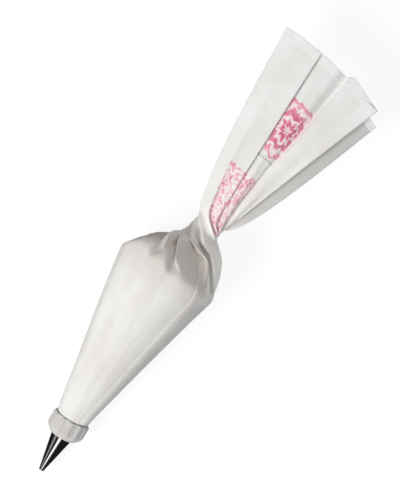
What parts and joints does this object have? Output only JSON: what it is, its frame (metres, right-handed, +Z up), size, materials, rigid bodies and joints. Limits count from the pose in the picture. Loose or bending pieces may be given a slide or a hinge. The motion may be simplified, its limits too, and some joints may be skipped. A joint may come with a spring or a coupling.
{
  "type": "piping bag",
  "caption": "Filled cone-shaped icing bag lying on its side, with a round metal tip on a screw-ring coupler, a twisted pleated neck and an open fanned tail.",
  "frame": {"origin": "middle of the footprint, on the plane the bag lies on", "axes": "+X from the tip towards the bag's open mouth, +Z up from the table, +Y to the bag's left"},
  "size_m": [0.3184, 0.0984, 0.0605],
  "materials": {
    "coated_cloth": "thin polyester cloth with a soft plastic coating, semi-matte white",
    "hem_cloth": "the same cloth, folded over and stitched",
    "white_plastic": "moulded white polypropylene, semi-gloss",
    "steel": "polished seamless stainless steel",
    "icing": "soft white buttercream"
  },
  "bodies": {
    "bag": {"coupler_base": "white_plastic", "bag_body": "coated_cloth", "body_seam": "coated_cloth", "icing_filling": "icing"},
    "tip": {"piping_tip": "steel"},
    "ring": {"coupler_ring": "white_plastic"},
    "tail": {"bag_tail": "coated_cloth", "tail_seam": "coated_cloth", "mouth_hem": "hem_cloth"}
  },
  "joints": [
    {"name": "tip_slide", "type": "slide", "parent": "bag", "child": "tip", "axis": [-0.9917, -0.0401, -0.1218], "range_m": [0, 0.0048]},
    {"name": "ring_turn", "type": "hinge", "parent": "tip", "child": "ring", "pos_m": [-0.10349, 0.01635, 0.0157], "axis": [-0.9917, -0.0401, -0.1218], "range_deg": [0, 720]},
    {"name": "tail_twist", "type": "hinge", "parent": "bag", "child": "tail", "pos_m": [0.02623, 0.01159, 0.03001], "axis": [0.9888, -0.1319, 0.0698], "range_deg": [-180, 180]}
  ],
  "couplings": [
    {"joint": "tip_slide", "follows": "ring_turn", "m_per_rad": 0.00038197}
  ]
}
